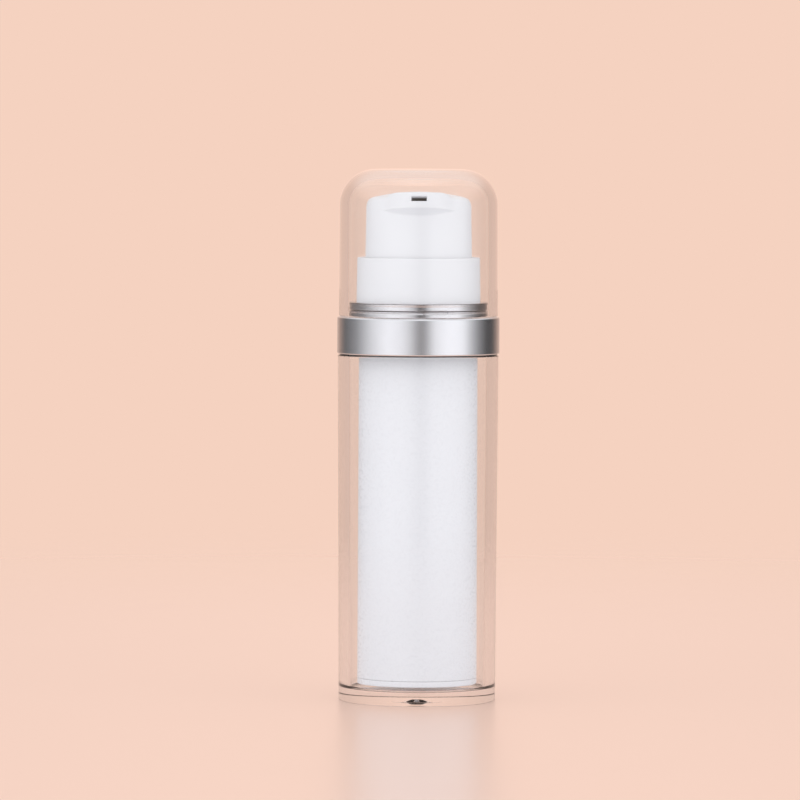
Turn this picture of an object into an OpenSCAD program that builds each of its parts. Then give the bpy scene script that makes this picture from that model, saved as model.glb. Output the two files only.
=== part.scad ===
// Airless pump bottle: a clear outer sleeve round a white inner bottle, a metal collar, a sprung
// pump under a swivelling actuator head, and a clear over-cap. The spout faces -Y, +Z is up, and
// the origin is the centre of the base.

/* [Overall size] */
// Height from the base to the top of the cap
total_h = 123; // [100:0.5:170]
// Diameter of the metal band, the widest place
band_d = 37.6; // [36.8:0.1:50]

/* [Over-cap] */
// Wall of the cap at its rim
cap_wall = 2.1; // [1.6:0.05:2.8]
// Thickness of the cap's roof
cap_roof = 2; // [1.2:0.1:3]
// Outer corner radius between the roof and the wall
cap_corner = 8.4; // [4:0.1:10]
// How far the cap's rim stands back from the band
cap_setback = 0.37; // [0.1:0.01:0.8]
// Draft of the cap, as the radius lost from the rim to the roof
cap_draft = 0.16; // [0:0.01:0.4]
// Clear space between the head's crown and the cap's roof
cap_headroom = 2.8; // [2:0.1:8]
// Width of one snap lug on the cap's inner wall
lug_w = 5.4; // [3:0.1:9]
// Height of one snap lug
lug_h = 0.95; // [0.6:0.05:1.4]
// How far a lug stands in from the cap's wall
lug_reach = 0.24; // [0.1:0.01:0.26]
// Angle of the first lug from the front
lug_angle = 13.4; // [0:0.1:60]

/* [Clear outer sleeve] */
// Wall of the sleeve under the band
sleeve_wall = 2.7; // [2.2:0.05:3.4]
// Wall of the sleeve's neck inside the collar
sleeve_neck_wall = 1.6; // [1.2:0.05:1.7]
// Thickness of the sleeve's solid floor
floor_t = 3; // [2:0.1:6]
// How far the sleeve's top stands back from the band
sleeve_setback = 0.15; // [0.05:0.01:0.6]
// Draft of the outside, as the radius lost from the band to the foot
sleeve_draft = 0.48; // [0:0.01:0.8]
// Draft of the bore, as the radius lost from the band to the floor
sleeve_bore_draft = 0.35; // [0:0.01:0.6]
// Radius on the edge of the foot
foot_edge_r = 0.6; // [0.3:0.05:1.5]
// Radius in the corner of the bore and the floor
floor_corner_r = 0.8; // [0.3:0.05:1.5]
// Radius of the moulding dimple under the floor
dimple_r = 3.7; // [2.5:0.1:6]
// Depth of the moulding dimple
dimple_h = 1.1; // [0.4:0.1:1.6]
// Radius of the gate stub in the dimple
gate_r = 1.6; // [0.8:0.1:2]

/* [Collar] */
// Height of the metal band
band_h = 8.6; // [7.9:0.1:14]
// Thickness of the band's metal
band_t = 0.4; // [0.3:0.05:0.6]
// Radius on the band's top edge
band_edge_r = 0.55; // [0.3:0.05:0.8]
// Gap between the band and the sleeve's shoulder
band_seam = 0.3; // [0.1:0.05:0.6]
// Thickness of the collar's deck
deck_t = 0.7; // [0.5:0.05:1.5]
// Height of the stepped ring above the deck
ring_h = 3.8; // [3:0.1:6]
// Height of the cap's snap groove above the deck
groove_z = 1.86; // [1.5:0.01:2.2]
// Depth of the snap groove
groove_depth = 0.3; // [0.1:0.05:0.5]

/* [Inner bottle] */
// Air space between the sleeve's bore and the inner bottle, at the top
air_gap = 2.22; // [1:0.05:3]
// Radius gained from the inner bottle's top to its foot
bottle_draft = 0.12; // [0:0.01:0.3]
// Least wall of the inner bottle
bottle_wall = 0.98; // [0.8:0.02:1.6]
// Thickness of the flange that hangs the inner bottle in the sleeve
flange_t = 1.2; // [0.8:0.1:2]
// Outer radius of the inner bottle's neck
neck_r = 10; // [9:0.1:10.3]
// Wall of the inner bottle's neck
neck_wall = 1; // [0.8:0.1:1.5]
// Height of the inner bottle's neck
neck_h = 3.3; // [3.1:0.1:6]
// Thickness of the base cap's disc, the rim that shows
base_disc_t = 1.35; // [1:0.05:2]
// How far the base cap stands over the sleeve's floor
base_gap = 1; // [0.3:0.1:3]
// How far the base cap's plug reaches into the bottle
base_plug_h = 2.65; // [1.5:0.05:5]
// Radius of the base cap's vent
vent_r = 0.75; // [0.4:0.05:1.5]

/* [Follower piston] */
// Height of the follower piston
follower_h = 13; // [11:0.5:16]
// Wall of the follower piston
follower_wall = 1; // [0.8:0.1:1.4]
// Height of each of its sealing lips
lip_h = 1.6; // [1:0.1:3]

/* [Actuator head] */
// Radius of the head under its crown
head_r = 12.2; // [11.8:0.05:12.3]
// Radius gained from the crown to the end of the skirt
head_draft = 0.2; // [0:0.01:0.25]
// Height of the head from the end of its skirt to its crown
head_h = 19; // [17.5:0.1:22]
// Wall of the skirt
skirt_wall = 1.2; // [0.9:0.1:1.6]
// Radius of the crown's curve
crown_r = 34; // [26:0.5:60]
// Radius on the edge of the crown
crown_edge_r = 1.5; // [0.8:0.1:2]
// How far the spout stands out from the head
spout_reach = 2.6; // [1.5:0.1:2.8]
// Radius of the spout, seen from above
spout_r = 8.06; // [7:0.02:9]
// Depth of the spout's flat top under the crown
spout_drop = 0.6; // [0.5:0.05:0.8]
// Width of the outlet
outlet_w = 3.4; // [2:0.1:4]
// Height of the outlet
outlet_h = 1.3; // [0.8:0.1:1.4]
// How far the skirt reaches into the neck sleeve at rest
skirt_overlap = 3.4; // [2:0.1:5]
// Wall of the neck sleeve at its top
neck_sleeve_wall = 1.5; // [1.2:0.05:1.6]

/* [Pump] */
// Travel of the head when it is pressed
stroke = 5; // [3.5:0.1:6.5]
// Bore radius of the pump housing
pump_bore_r = 5.2; // [4.7:0.1:6.3]
// Wall of the pump housing
pump_wall = 1; // [0.8:0.1:1.3]
// Outer radius of the stem
stem_r = 2.5; // [2.3:0.05:2.7]
// Radius of the stem's channel
stem_bore_r = 0.9; // [0.7:0.05:0.95]
// Height of the pump piston
piston_h = 5.5; // [4.5:0.1:8]
// Radius of the outlet ball
outlet_ball_r = 1.5; // [1.4:0.05:1.65]
// Lift of the outlet ball off its seat
outlet_lift = 0.8; // [0.4:0.05:1]
// Radius of the inlet ball
inlet_ball_r = 2; // [1.75:0.05:2.4]
// Lift of the inlet ball off its seat
inlet_lift = 1; // [0.5:0.05:1.5]
// Wire diameter of the return spring
wire_d = 0.7; // [0.5:0.05:0.9]
// Mean radius of the return spring
spring_r = 5.35; // [5.1:0.05:5.9]
// Turns of the return spring
spring_turns = 7; // [5:0.5:9]

/* [Fits] */
// Gap between parts that are pressed or snapped together
press_gap = 0.04; // [0.02:0.01:0.08]
// Radial gap of a sliding seal
seal_gap = 0.05; // [0.02:0.01:0.1]
// Gap between a guided part and its guide
guide_gap = 0.3; // [0.2:0.05:0.5]
// Gap between faces that only rest on each other
rest_gap = 0.1; // [0.05:0.01:0.3]

/* [Hidden] */
$fn = 128;
// Overlap that keeps a cut or a union clear of a shared face
eps = 0.01;
// Steps in a quarter turn of a rounded edge
arc_steps = 10;

// Radii of the body, outside in
band_r = band_d / 2;
band_inner_r = band_r - band_t;
sleeve_top_r = band_r - sleeve_setback;
sleeve_foot_r = sleeve_top_r - sleeve_draft;
sleeve_bore_top_r = sleeve_top_r - sleeve_wall;
sleeve_bore_foot_r = sleeve_bore_top_r - sleeve_bore_draft;
sleeve_neck_r = sleeve_bore_top_r + sleeve_neck_wall;
bottle_top_r = sleeve_bore_top_r - air_gap;
bottle_foot_r = bottle_top_r + bottle_draft;
bottle_bore_r = bottle_top_r - bottle_wall;
cap_rim_r = band_r - cap_setback;
cap_bore_r = cap_rim_r - cap_wall;
ring_r = cap_bore_r - guide_gap;

// Radii of the head and what guides it
skirt_r = head_r + head_draft;
skirt_bore_r = skirt_r - skirt_wall;
guide_r = skirt_r + guide_gap;
neck_sleeve_draft = 0.15;
neck_sleeve_foot_wall = 1.2;
neck_sleeve_top_r = guide_r + neck_sleeve_wall;
neck_sleeve_foot_r = neck_sleeve_top_r + neck_sleeve_draft;
collar_bore_r = neck_sleeve_foot_r + press_gap;
closure_r = neck_sleeve_foot_r - neck_sleeve_foot_wall - press_gap;

// Bead round the inner bottle's neck that the closure snaps under
bead_reach = 0.5;
bead_r = neck_r + bead_reach;

// Heights above the flange of the inner bottle, worked out from the bottom of the pump up
gasket_t = 0.8;
housing_flange_t = 1;
closure_t = 0.9;
skirt_floor_gap = 0.5;
gasket_dz = neck_h;
housing_flange_dz = gasket_dz + gasket_t;
closure_dz = housing_flange_dz + housing_flange_t;
closure_top_dz = closure_dz + closure_t;
skirt_dz = closure_top_dz + skirt_floor_gap + stroke;
crown_dz = skirt_dz + head_h;
rim_dz = rest_gap + deck_t + band_t + rest_gap;
cap_h = crown_dz - rim_dz + cap_headroom + cap_roof;

// Heights over the base
flange_top_z = total_h - cap_h - rim_dz;
sleeve_rim_z = flange_top_z - flange_t;
deck_z = flange_top_z + rest_gap;
deck_top_z = deck_z + deck_t;
band_top_z = deck_top_z + band_t;
band_z = band_top_z - band_h;
shoulder_z = band_z - band_seam;
snap_z = (shoulder_z + sleeve_rim_z) / 2;
cap_rim_z = band_top_z + rest_gap;
ring_top_z = deck_top_z + ring_h;
groove_mid_z = deck_top_z + groove_z;
closure_top_z = flange_top_z + closure_top_dz;
skirt_z = flange_top_z + skirt_dz;
crown_z = flange_top_z + crown_dz;
neck_sleeve_top_z = skirt_z + skirt_overlap;
base_cap_z = floor_t + base_gap;
bottle_foot_z = base_cap_z + base_disc_t + seal_gap;
follower_z = base_cap_z + base_disc_t + base_plug_h + guide_gap;

// The channel and valve in the head, worked out from the crown down
outlet_depth = 1.2;
outlet_top_z = crown_z - outlet_depth;
outlet_z = outlet_top_z - outlet_h;
trough_wall = 0.9;
trough_z = outlet_z - trough_wall;
trough_half_w = outlet_w / 2 + trough_wall;
trough_back_y = trough_half_w;
spout_y = head_r + spout_reach - spout_r;
trough_inset = 0.45;
trough_front_y = head_r - trough_inset;
valve_roof_t = 1.3;
valve_top_z = trough_z - valve_roof_t;
ball_play = 0.35;
valve_r = outlet_ball_r + ball_play;
seat_play = 0.02;
// A ball on a 45 degree cone that ends at this radius stands this far above the cone's end
stem_seat_r = outlet_ball_r;
outlet_ball_rise = outlet_ball_r * sqrt(2) - stem_seat_r + seat_play;
ball_headroom = 0.08;
stem_top_z = valve_top_z - outlet_ball_rise - outlet_ball_r - outlet_lift - ball_headroom;
outlet_ball_z = stem_top_z + outlet_ball_rise;
core_flange_dz = 0.8;
core_flange_z = stem_top_z + core_flange_dz;
core_flange_t = 1.2;
core_flange_margin = 0.9;
core_flange_r = spring_r + wire_d / 2 + core_flange_margin;
boss_wall = 1.7;
boss_r = stem_r + boss_wall;
socket_wall = 1.05;
socket_dz = 0.4;
socket_z = core_flange_z + core_flange_t + socket_dz;

// The pump's lock ring and spring seat
stub_h = 0.9;
stub_top_z = closure_top_z + stub_h;
lock_flange_t = 1;
spring_seat_z = stub_top_z + lock_flange_t;
spring_len = core_flange_z - spring_seat_z - 2 * seal_gap;
boss_clearance = 0.6;
boss_z = spring_seat_z + stroke + boss_clearance;
lock_plug_h = 4.5;
lock_z = stub_top_z - lock_plug_h;
lock_flange_margin = 1.7;
lock_flange_r = spring_r + wire_d / 2 + lock_flange_margin;

// The pump's piston and rod
piston_top_z = lock_z - guide_gap;
piston_z = piston_top_z - piston_h;
rod_head_t = 1.6;
rod_head_z = piston_z - rest_gap - rod_head_t;
rod_wall = 0.68;
rod_channel_r = stem_bore_r - 0.1;
rod_r = rod_channel_r + rod_wall;
rod_head_r = stem_r + 0.7;
stem_z = piston_z + 2.2;
stem_socket_h = 3.5;

// The pump's housing and inlet valve
housing_r = pump_bore_r + pump_wall;
rod_floor_gap = 0.8;
housing_floor_z = rod_head_z - stroke - rod_floor_gap;
cage_play = 0.5;
cage_r = inlet_ball_r + cage_play;
cage_rim_t = 0.8;
cage_rim_r = inlet_ball_r - 0.3;
cage_top_z = housing_floor_z - cage_rim_t;
inlet_r = inlet_ball_r * 0.6;
cage_headroom = 0.14;
inlet_ball_z = cage_top_z - cage_headroom - inlet_lift - inlet_ball_r;
// Height at which the 45 degree seat cone would come to a point
seat_apex_z = inlet_ball_z - inlet_ball_r * sqrt(2) - seat_play;
inlet_h = 1;
inlet_z = seat_apex_z + inlet_r - inlet_h;
cage_wall = 1.1;

// The follower's well clears the pump's housing
well_clearance = 0.6;
lip_reach = 0.55;
well_r = housing_r + well_clearance;
follower_r = bottle_bore_r - seal_gap;
follower_waist_r = follower_r - lip_reach;
follower_well_z = follower_z + 2 * follower_wall;
follower_travel = inlet_z - guide_gap - follower_well_z;

white = "#f3f2f1";
natural = "#e9e7e2";
clear_plastic = [0.97, 0.93, 0.91, 0.3];
aluminium = "#c9c8cc";
metallised = "#d6d6da";
steel = "#9fa1a5";
rubber = "#4a4a4c";

// Points on an arc, both ends included
function arc(cx, cy, r, from, to) = [
    for (i = [0 : arc_steps])
        let (a = from + (to - from) * i / arc_steps)
        [cx + r * cos(a), cy + r * sin(a)]
];

// A ring about the Z axis
module tube(r_out, r_in, z, h) {
    translate([0, 0, z])
        difference() {
            cylinder(r = r_out, h = h);
            translate([0, 0, -eps])
                cylinder(r = r_in, h = h + 2 * eps);
        }
}

// The cap's shell: a straight wall with draft, a rounded corner and a flat roof
module cap_shell() {
    top_r = cap_rim_r - cap_draft;
    bore_top_r = cap_bore_r - cap_draft;
    roof_z = total_h - cap_roof;
    inner_corner = max(cap_corner - cap_wall, 1);
    rotate_extrude()
        polygon(concat(
            [[cap_bore_r, cap_rim_z], [cap_rim_r, cap_rim_z]],
            arc(top_r - cap_corner, total_h - cap_corner, cap_corner, 0, 90),
            [[0, total_h], [0, roof_z]],
            arc(bore_top_r - inner_corner, roof_z - inner_corner, inner_corner, 90, 0)
        ));
}

// One snap lug: a low slot-shaped pad on the inner wall, at an angle from the front
module cap_lug(angle) {
    mid_z = groove_mid_z;
    end_x = lug_w / 2 - lug_h / 2;
    rotate([0, 0, angle])
        intersection() {
            tube(cap_bore_r + 0.3, cap_bore_r - lug_reach, mid_z - lug_h, 2 * lug_h);
            translate([0, -cap_bore_r + 2, mid_z])
                rotate([90, 0, 0])
                    union() {
                        translate([-end_x, -lug_h / 2, 0])
                            cube([2 * end_x, lug_h, 4]);
                        for (x = [-end_x, end_x])
                            translate([x, 0, 0])
                                cylinder(r = lug_h / 2, h = 4);
                    }
        }
}

module over_cap() {
    mark_r = 0.8;
    mark_depth = 0.2;
    color(clear_plastic)
        difference() {
            union() {
                cap_shell();
                for (i = [0 : 2])
                    cap_lug(lug_angle + 120 * i);
            }
            // Dimple left by the moulding gate
            tube(mark_r, mark_r / 2, total_h - mark_depth, 1);
        }
}

// The head's round body: a crowned top, a rounded edge and a skirt that widens downwards
module head_body() {
    crown_mid_z = crown_z - crown_r;
    edge_x = head_r - crown_edge_r;
    edge_z = crown_mid_z + sqrt(pow(crown_r - crown_edge_r, 2) - pow(edge_x, 2));
    edge_a = atan2(edge_z - crown_mid_z, edge_x);
    rotate_extrude()
        polygon(concat(
            [[0, skirt_z], [skirt_r, skirt_z]],
            arc(edge_x, edge_z, crown_edge_r, 0, edge_a),
            arc(0, crown_mid_z, crown_r, edge_a + 1, 90)
        ));
}

// The spout: a flat-topped lip with a rounded edge, undercut by a cone
module spout() {
    undercut_y = spout_y - 2.04;
    undercut_slope = 0.63;
    lip_drop = 3.9;
    lip_z = crown_z - lip_drop;
    apex_z = lip_z - undercut_slope * (spout_y + spout_r - undercut_y);
    top_z = crown_z - spout_drop;
    edge_r = 0.6;
    reach = 20;
    intersection() {
        translate([0, -spout_y, 0])
            rotate_extrude()
                polygon(concat(
                    [[0, apex_z], [spout_r, apex_z]],
                    arc(spout_r - edge_r, top_z - edge_r, edge_r, 0, 90),
                    [[0, top_z]]
                ));
        translate([0, -undercut_y, apex_z])
            cylinder(r1 = 0, r2 = reach, h = reach * undercut_slope);
    }
}

// Hollow of the head, under an even roof
module head_hollow() {
    rotate_extrude()
        polygon([
            [0, skirt_z - 1],
            [skirt_bore_r, skirt_z - 1],
            [skirt_bore_r - head_draft, crown_z - 4],
            [head_r - 2.7, crown_z - 2.7],
            [head_r - 6.2, crown_z - 1.8],
            [0, crown_z - 1.5]
        ]);
}

module actuator_shell() {
    gap = press_gap;
    color(white)
        difference() {
            union() {
                difference() {
                    union() {
                        head_body();
                        spout();
                    }
                    head_hollow();
                }
                tube(boss_r + gap + socket_wall, boss_r + gap, socket_z, crown_z - 1 - socket_z);
            }
            // Pocket that takes the core's trough
            translate([-trough_half_w - gap, -trough_front_y - gap, trough_z - gap])
                cube([
                    2 * (trough_half_w + gap),
                    trough_front_y + trough_back_y + 2 * gap,
                    outlet_top_z - trough_z + gap
                ]);
            // Outlet
            translate([-outlet_w / 2, -head_r - spout_reach - 1, outlet_z])
                cube([outlet_w, head_r + spout_reach + 1, outlet_h]);
            cylinder(r = boss_r + gap, h = trough_z + gap);
        }
}

module nozzle_core() {
    port_r = outlet_ball_r * 0.65;
    slot_w = 0.8;
    color(natural)
        difference() {
            union() {
                translate([0, 0, boss_z])
                    cylinder(r = boss_r, h = trough_z + eps - boss_z);
                translate([0, 0, core_flange_z])
                    cylinder(r = core_flange_r, h = core_flange_t);
                translate([-trough_half_w, -trough_front_y, trough_z])
                    cube([
                        2 * trough_half_w,
                        trough_front_y + trough_back_y,
                        outlet_top_z - press_gap - trough_z
                    ]);
            }
            // Channel along the trough, open upwards
            translate([-outlet_w / 2, -trough_front_y - 1, outlet_z])
                cube([outlet_w, trough_front_y + 1 + outlet_w / 2, outlet_h + 1]);
            // Socket for the stem
            translate([0, 0, boss_z - 1])
                cylinder(r = stem_r + press_gap, h = stem_top_z - boss_z + 1 + eps);
            // Valve chamber and its way up to the channel
            translate([0, 0, stem_top_z])
                cylinder(r = valve_r, h = valve_top_z - stem_top_z);
            translate([0, 0, stem_top_z])
                cylinder(r = port_r, h = outlet_z - stem_top_z + 1);
            translate([-outlet_w / 2, -slot_w / 2, valve_top_z - slot_w])
                cube([outlet_w, slot_w, outlet_z - valve_top_z + slot_w + 1]);
        }
}

module outlet_ball() {
    color(steel)
        translate([0, 0, outlet_ball_z])
            sphere(r = outlet_ball_r);
}

// The return spring: one wire, swept in rings along a helix with closer end turns
spring_rings = 8;
wire_sides = 6;
end_pitch = wire_d + 0.45;
mid_pitch = (spring_len - wire_d - 2 * end_pitch) / (spring_turns - 2);
function spring_z(t) = t < 1 ? end_pitch * t
    : t < spring_turns - 1 ? end_pitch + mid_pitch * (t - 1)
    : end_pitch + mid_pitch * (spring_turns - 2) + end_pitch * (t - spring_turns + 1);
function wire_ring(t) = [
    for (s = [0 : wire_sides - 1])
        let (a = 360 * s / wire_sides, r = spring_r + wire_d / 2 * cos(a))
        [
            r * cos(360 * t),
            r * sin(360 * t),
            spring_seat_z + seal_gap + wire_d / 2 + spring_z(t) + wire_d / 2 * sin(a)
        ]
];

module return_spring() {
    rings = spring_turns * spring_rings;
    points = [for (i = [0 : rings]) each wire_ring(i / spring_rings)];
    last = rings * wire_sides;
    sides = [
        for (i = [0 : rings - 1], s = [0 : wire_sides - 1])
            let (
                a = i * wire_sides + s,
                b = i * wire_sides + (s + 1) % wire_sides,
                c = b + wire_sides,
                d = a + wire_sides
            )
            each [[a, d, b], [b, d, c]]
    ];
    start_cap = [for (s = [1 : wire_sides - 2]) [0, s, s + 1]];
    end_cap = [for (s = [1 : wire_sides - 2]) [last, last + s + 1, last + s]];
    // Least gap from one turn to the next, measured on the points
    turn = spring_rings * wire_sides;
    turn_gaps = [
        for (i = [0 : rings - spring_rings], s = [0 : wire_sides - 1], u = [0 : wire_sides - 1])
            norm(points[i * wire_sides + s] - points[i * wire_sides + u + turn])
    ];
    echo(least_spring_gap = min(turn_gaps));
    color(steel)
        polyhedron(points = points, faces = concat(sides, start_cap, end_cap));
}

module pump_stem() {
    color(natural)
        difference() {
            translate([0, 0, stem_z])
                cylinder(r = stem_r, h = stem_top_z - stem_z);
            translate([0, 0, stem_z - 1])
                cylinder(r = stem_bore_r, h = stem_top_z - stem_z + 2);
            translate([0, 0, stem_z - 1])
                cylinder(r = rod_r + press_gap, h = stem_socket_h + 1);
            // Conical seat of the outlet ball
            translate([0, 0, stem_top_z - stem_seat_r])
                cylinder(r1 = 0, r2 = stem_seat_r + eps, h = stem_seat_r + eps);
        }
}

module piston_rod() {
    shank_z = rod_head_z + rod_head_t;
    port_r = 0.5;
    floor_h = 0.3;
    color(natural)
        difference() {
            union() {
                translate([0, 0, rod_head_z])
                    cylinder(r = rod_head_r, h = rod_head_t);
                translate([0, 0, shank_z - eps])
                    cylinder(r = rod_r, h = stem_z + stem_socket_h - shank_z);
            }
            translate([0, 0, shank_z + floor_h])
                cylinder(r = rod_channel_r, h = stem_z + stem_socket_h - shank_z);
            translate([-rod_head_r, 0, shank_z + floor_h + port_r])
                rotate([0, 90, 0])
                    cylinder(r = port_r, h = 2 * rod_head_r);
        }
}

// The pump's piston: a hub on the stem between two flared lips
module pump_piston() {
    lip_r = pump_bore_r - seal_gap;
    lip_t = 0.6;
    rim_h = 0.7;
    flare_h = 1.5;
    recess = 0.8;
    waist_r = stem_r + 1.1;
    rod_bore_r = rod_r + 0.15;
    color(natural)
        rotate_extrude()
            polygon([
                [rod_bore_r, piston_z],
                [lip_r, piston_z],
                [lip_r, piston_z + rim_h],
                [waist_r, piston_z + flare_h],
                [waist_r, piston_top_z - flare_h],
                [lip_r, piston_top_z - rim_h],
                [lip_r, piston_top_z],
                [lip_r - lip_t, piston_top_z],
                [waist_r - 0.2, piston_top_z - recess],
                [stem_r + seal_gap, piston_top_z - recess],
                [stem_r + seal_gap, stem_z - press_gap],
                [rod_bore_r, stem_z - press_gap]
            ]);
}

// The ring that shuts the pump's housing, with the seat of the spring on top
module lock_ring() {
    color(white)
        difference() {
            union() {
                translate([0, 0, lock_z])
                    cylinder(r = pump_bore_r - press_gap, h = lock_plug_h + eps);
                translate([0, 0, stub_top_z])
                    cylinder(r = lock_flange_r, h = lock_flange_t);
            }
            translate([0, 0, lock_z - 1])
                cylinder(r = stem_r + guide_gap, h = lock_plug_h + lock_flange_t + 2);
        }
}

// The closure: an inner skirt that snaps under the neck's bead and an outer skirt in the sleeve
module pump_closure() {
    bead_gap = 0.06;
    inner_wall = 0.95;
    outer_wall = 0.9;
    catch_r = neck_r + 0.1;
    inner_r = bead_r + bead_gap;
    z = flange_top_z + guide_gap;
    h = closure_top_z - z;
    color(white)
        union() {
            tube(inner_r + inner_wall, inner_r, z, h);
            tube(closure_r, closure_r - outer_wall, z, h);
            tube(closure_r - 0.1, housing_r + press_gap, closure_top_z - closure_t, closure_t);
            // Bead that holds under the neck
            rotate_extrude()
                polygon([
                    [inner_r + 0.2, z + 0.1],
                    [inner_r, z + 0.1],
                    [catch_r, z + 0.45],
                    [catch_r, z + 0.75],
                    [inner_r, z + 1.1],
                    [inner_r + 0.2, z + 1.1]
                ]);
        }
}

module neck_gasket() {
    color(rubber)
        tube(neck_r, housing_r + 0.1, flange_top_z + gasket_dz, gasket_t);
}

// The pump's housing: a flanged barrel with a ball cage and an inlet under its floor
module pump_housing() {
    flange_z = flange_top_z + housing_flange_dz;
    notch_w = 0.8;
    color(natural)
        difference() {
            union() {
                translate([0, 0, cage_top_z])
                    cylinder(r = housing_r, h = stub_top_z - cage_top_z);
                translate([0, 0, flange_z])
                    cylinder(r = neck_r + 0.4, h = housing_flange_t);
                translate([0, 0, inlet_z])
                    cylinder(r = cage_r + cage_wall, h = cage_top_z - inlet_z + eps);
            }
            translate([0, 0, housing_floor_z])
                cylinder(r = pump_bore_r, h = stub_top_z - housing_floor_z + 1);
            translate([0, 0, housing_floor_z - cage_rim_t - eps])
                cylinder(r = cage_rim_r, h = cage_rim_t + 2 * eps);
            for (i = [0 : 2])
                rotate([0, 0, 120 * i])
                    translate([0, -notch_w / 2, cage_top_z - eps])
                        cube([cage_r - 0.1, notch_w, cage_rim_t + 2 * eps]);
            // Cage, seat cone and inlet
            translate([0, 0, seat_apex_z + cage_r])
                cylinder(r = cage_r, h = cage_top_z - seat_apex_z - cage_r);
            translate([0, 0, seat_apex_z])
                cylinder(r1 = 0, r2 = cage_r, h = cage_r);
            translate([0, 0, inlet_z - 1])
                cylinder(r = inlet_r, h = seat_apex_z + inlet_r + 1 - inlet_z + eps);
        }
}

module inlet_ball() {
    color(steel)
        translate([0, 0, inlet_ball_z])
            sphere(r = inlet_ball_r);
}

// The white sleeve that guides the head's skirt and grips the closure
module neck_sleeve() {
    z = flange_top_z + seal_gap;
    ledge_z = closure_top_z + seal_gap;
    top_edge = 0.25;
    color(white)
        rotate_extrude()
            polygon([
                [closure_r + press_gap, z],
                [neck_sleeve_foot_r, z],
                [neck_sleeve_foot_r, ring_top_z],
                [neck_sleeve_top_r, neck_sleeve_top_z - top_edge],
                [neck_sleeve_top_r - top_edge, neck_sleeve_top_z],
                [guide_r + top_edge, neck_sleeve_top_z],
                [guide_r, neck_sleeve_top_z - top_edge],
                [guide_r, ledge_z],
                [closure_r + press_gap, ledge_z]
            ]);
}

// The collar's core: a skirt round the sleeve's neck, a deck and the stepped ring for the cap
module collar_ring() {
    skirt_out_r = band_inner_r - press_gap;
    skirt_in_r = sleeve_neck_r + press_gap;
    foot_gap = 0.2;
    land_h = 0.8;
    snap_h = 0.5;
    snap_reach = 0.2;
    color(metallised)
        rotate_extrude()
            polygon([
                [collar_bore_r, deck_z],
                [skirt_in_r, deck_z],
                [skirt_in_r, snap_z + snap_h],
                [skirt_in_r - snap_reach, snap_z + snap_h / 2],
                [skirt_in_r - snap_reach, snap_z - snap_h / 2],
                [skirt_in_r, snap_z - snap_h],
                [skirt_in_r, band_z + foot_gap],
                [skirt_out_r, band_z + foot_gap],
                [skirt_out_r, deck_top_z],
                [ring_r, deck_top_z],
                [ring_r, deck_top_z + land_h],
                [ring_r - groove_depth, groove_mid_z - 0.3],
                [ring_r - groove_depth, groove_mid_z - 0.1],
                [ring_r, groove_mid_z + 0.05],
                [ring_r, groove_mid_z + 0.35],
                [ring_r - 0.2, ring_top_z - 0.5],
                [ring_r - 0.35, ring_top_z],
                [collar_bore_r, ring_top_z]
            ]);
}

// The metal band: a thin shell whose top edge turns in over the collar's deck
module collar_band() {
    flange_in_r = ring_r + press_gap;
    foot_r = 0.2;
    color(aluminium)
        rotate_extrude()
            polygon(concat(
                [
                    [band_inner_r, band_z],
                    [band_r - foot_r, band_z],
                    [band_r, band_z + foot_r]
                ],
                arc(band_r - band_edge_r, band_top_z - band_edge_r, band_edge_r, 0, 90),
                [
                    [flange_in_r, band_top_z],
                    [flange_in_r, band_top_z - band_t],
                    [band_inner_r, band_top_z - band_t]
                ]
            ));
}

// The inner bottle: a straight bore, a flange that hangs it in the sleeve and a beaded neck
module inner_bottle() {
    flange_setback = 0.25;
    flange_r = sleeve_neck_r - flange_setback;
    z = flange_top_z;
    color(white)
        rotate_extrude()
            polygon([
                [bottle_bore_r, bottle_foot_z],
                [bottle_foot_r, bottle_foot_z],
                [bottle_top_r, sleeve_rim_z],
                [flange_r, sleeve_rim_z],
                [flange_r, z],
                [neck_r, z],
                [neck_r, z + 1.5],
                [bead_r, z + 1.9],
                [bead_r, z + 2.3],
                [neck_r, z + 2.9],
                [neck_r, z + neck_h],
                [neck_r - neck_wall, z + neck_h],
                [neck_r - neck_wall, sleeve_rim_z],
                [bottle_bore_r, sleeve_rim_z]
            ]);
}

// The base cap: a disc flush with the inner bottle and a plug ring inside it, with a vent
module base_cap() {
    disc_top_z = base_cap_z + base_disc_t;
    plug_r = bottle_bore_r - press_gap;
    plug_wall = 1.1;
    edge = 0.3;
    color(white)
        rotate_extrude()
            polygon([
                [vent_r, base_cap_z],
                [bottle_foot_r - edge, base_cap_z],
                [bottle_foot_r, base_cap_z + edge],
                [bottle_foot_r, disc_top_z],
                [plug_r, disc_top_z],
                [plug_r, disc_top_z + base_plug_h],
                [plug_r - plug_wall, disc_top_z + base_plug_h],
                [plug_r - plug_wall, disc_top_z],
                [vent_r, disc_top_z]
            ]);
}

// The follower piston: a lipped skirt, a deck and a well that clears the pump's housing
module follower_piston() {
    z = follower_z;
    top_z = z + follower_h;
    inner_r = follower_waist_r - follower_wall;
    rim_w = 0.3;
    flare_h = 0.5;
    color(natural)
        rotate_extrude()
            polygon([
                [0, z + follower_wall],
                [well_r + follower_wall, z + follower_wall],
                [well_r + follower_wall, top_z - follower_wall],
                [inner_r, top_z - follower_wall],
                [inner_r, z],
                [follower_r - rim_w, z],
                [follower_r, z + rim_w],
                [follower_r, z + lip_h],
                [follower_waist_r, z + lip_h + flare_h],
                [follower_waist_r, top_z - lip_h - flare_h],
                [follower_r, top_z - lip_h],
                [follower_r, top_z - rim_w],
                [follower_r - rim_w, top_z],
                [well_r, top_z],
                [well_r, z + 2 * follower_wall],
                [0, z + 2 * follower_wall]
            ]);
}

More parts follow.
